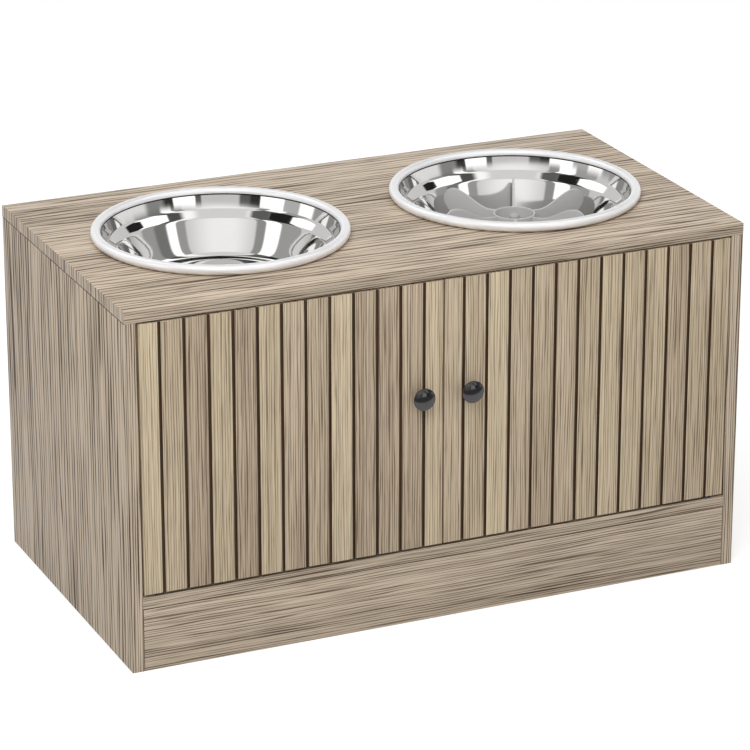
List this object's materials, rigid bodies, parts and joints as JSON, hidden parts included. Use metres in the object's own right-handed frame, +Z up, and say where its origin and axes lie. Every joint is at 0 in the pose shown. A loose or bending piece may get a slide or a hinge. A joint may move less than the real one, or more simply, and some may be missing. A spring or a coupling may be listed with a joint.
{
  "type": "elevated dog feeder with storage",
  "caption": "Raised pet feeder: a two-door storage cabinet in oak board whose top holds lift-out steel bowls, one with a slow-feeder insert.",
  "frame": {"origin": "centre of the bounding box's footprint, on the ground the side panels stand on", "axes": "+X along the cabinet's width, towards the bowl with the insert; -Y out of the doors; +Z up"},
  "size_m": [0.65, 0.366, 0.3753],
  "materials": {
    "oak_board": "oak melamine, grain along the length",
    "oak_side": "oak melamine, upright grain",
    "oak_door": "oak melamine, grooved, upright grain",
    "hardboard": "smooth hardboard",
    "zinc_fittings": "zinc die casting",
    "beech_dowels": "fluted beech",
    "nylon": "satin",
    "catch_plastic": "satin",
    "magnet": "ground ferrite",
    "steel_hardware": "zinc plated",
    "gunmetal": "gloss",
    "polished_steel": "mirror-polished stainless steel, satin rim",
    "insert_plastic": "satin moulded",
    "silicone": "soft satin"
  },
  "bodies": {
    "cabinet": {"top_panel": "oak_board", "left_side_panel": "oak_side", "right_side_panel": "oak_side", "bottom_panel": "oak_board", "plinth_board": "oak_board", "back_panel": "hardboard", "top_cam_bolts": "zinc_fittings", "top_cam_discs": "zinc_fittings", "top_dowels": "beech_dowels", "bottom_cam_bolts": "zinc_fittings", "bottom_cam_discs": "zinc_fittings", "bottom_dowels": "beech_dowels", "plinth_cam_bolts": "zinc_fittings", "plinth_cam_discs": "zinc_fittings", "plinth_dowels": "beech_dowels", "pivot_bushes": "nylon", "left_catch_housing": "catch_plastic", "right_catch_housing": "catch_plastic", "left_catch_magnet": "magnet", "right_catch_magnet": "magnet", "catch_screws": "steel_hardware"},
    "left_door": {"left_door": "oak_door", "left_door_pins": "steel_hardware", "left_knob": "gunmetal", "left_knob_screw": "steel_hardware", "left_strike_plate": "steel_hardware", "left_strike_screws": "steel_hardware"},
    "right_door": {"right_door": "oak_door", "right_door_pins": "steel_hardware", "right_knob": "gunmetal", "right_knob_screw": "steel_hardware", "right_strike_plate": "steel_hardware", "right_strike_screws": "steel_hardware"},
    "left_bowl": {"left_bowl": "polished_steel"},
    "right_bowl": {"right_bowl": "polished_steel"},
    "insert": {"slow_feeder_insert": "insert_plastic", "insert_suction_cup": "silicone"}
  },
  "joints": [
    {"name": "left_door_hinge", "type": "hinge", "parent": "cabinet", "child": "left_door", "pos_m": [-0.295, -0.161, 0.2145], "axis": [0, 0, -1], "range_deg": [0, 110]},
    {"name": "right_door_hinge", "type": "hinge", "parent": "cabinet", "child": "right_door", "pos_m": [0.295, -0.161, 0.2145], "axis": [0, 0, 1], "range_deg": [0, 110]},
    {"name": "left_bowl_lift", "type": "slide", "parent": "cabinet", "child": "left_bowl", "axis": [0, 0, 1], "range_m": [0, 0.08]},
    {"name": "right_bowl_lift", "type": "slide", "parent": "cabinet", "child": "right_bowl", "axis": [0, 0, 1], "range_m": [0, 0.08]},
    {"name": "insert_lift", "type": "slide", "parent": "right_bowl", "child": "insert", "axis": [0, 0, 1], "range_m": [0, 0.07]}
  ]
}
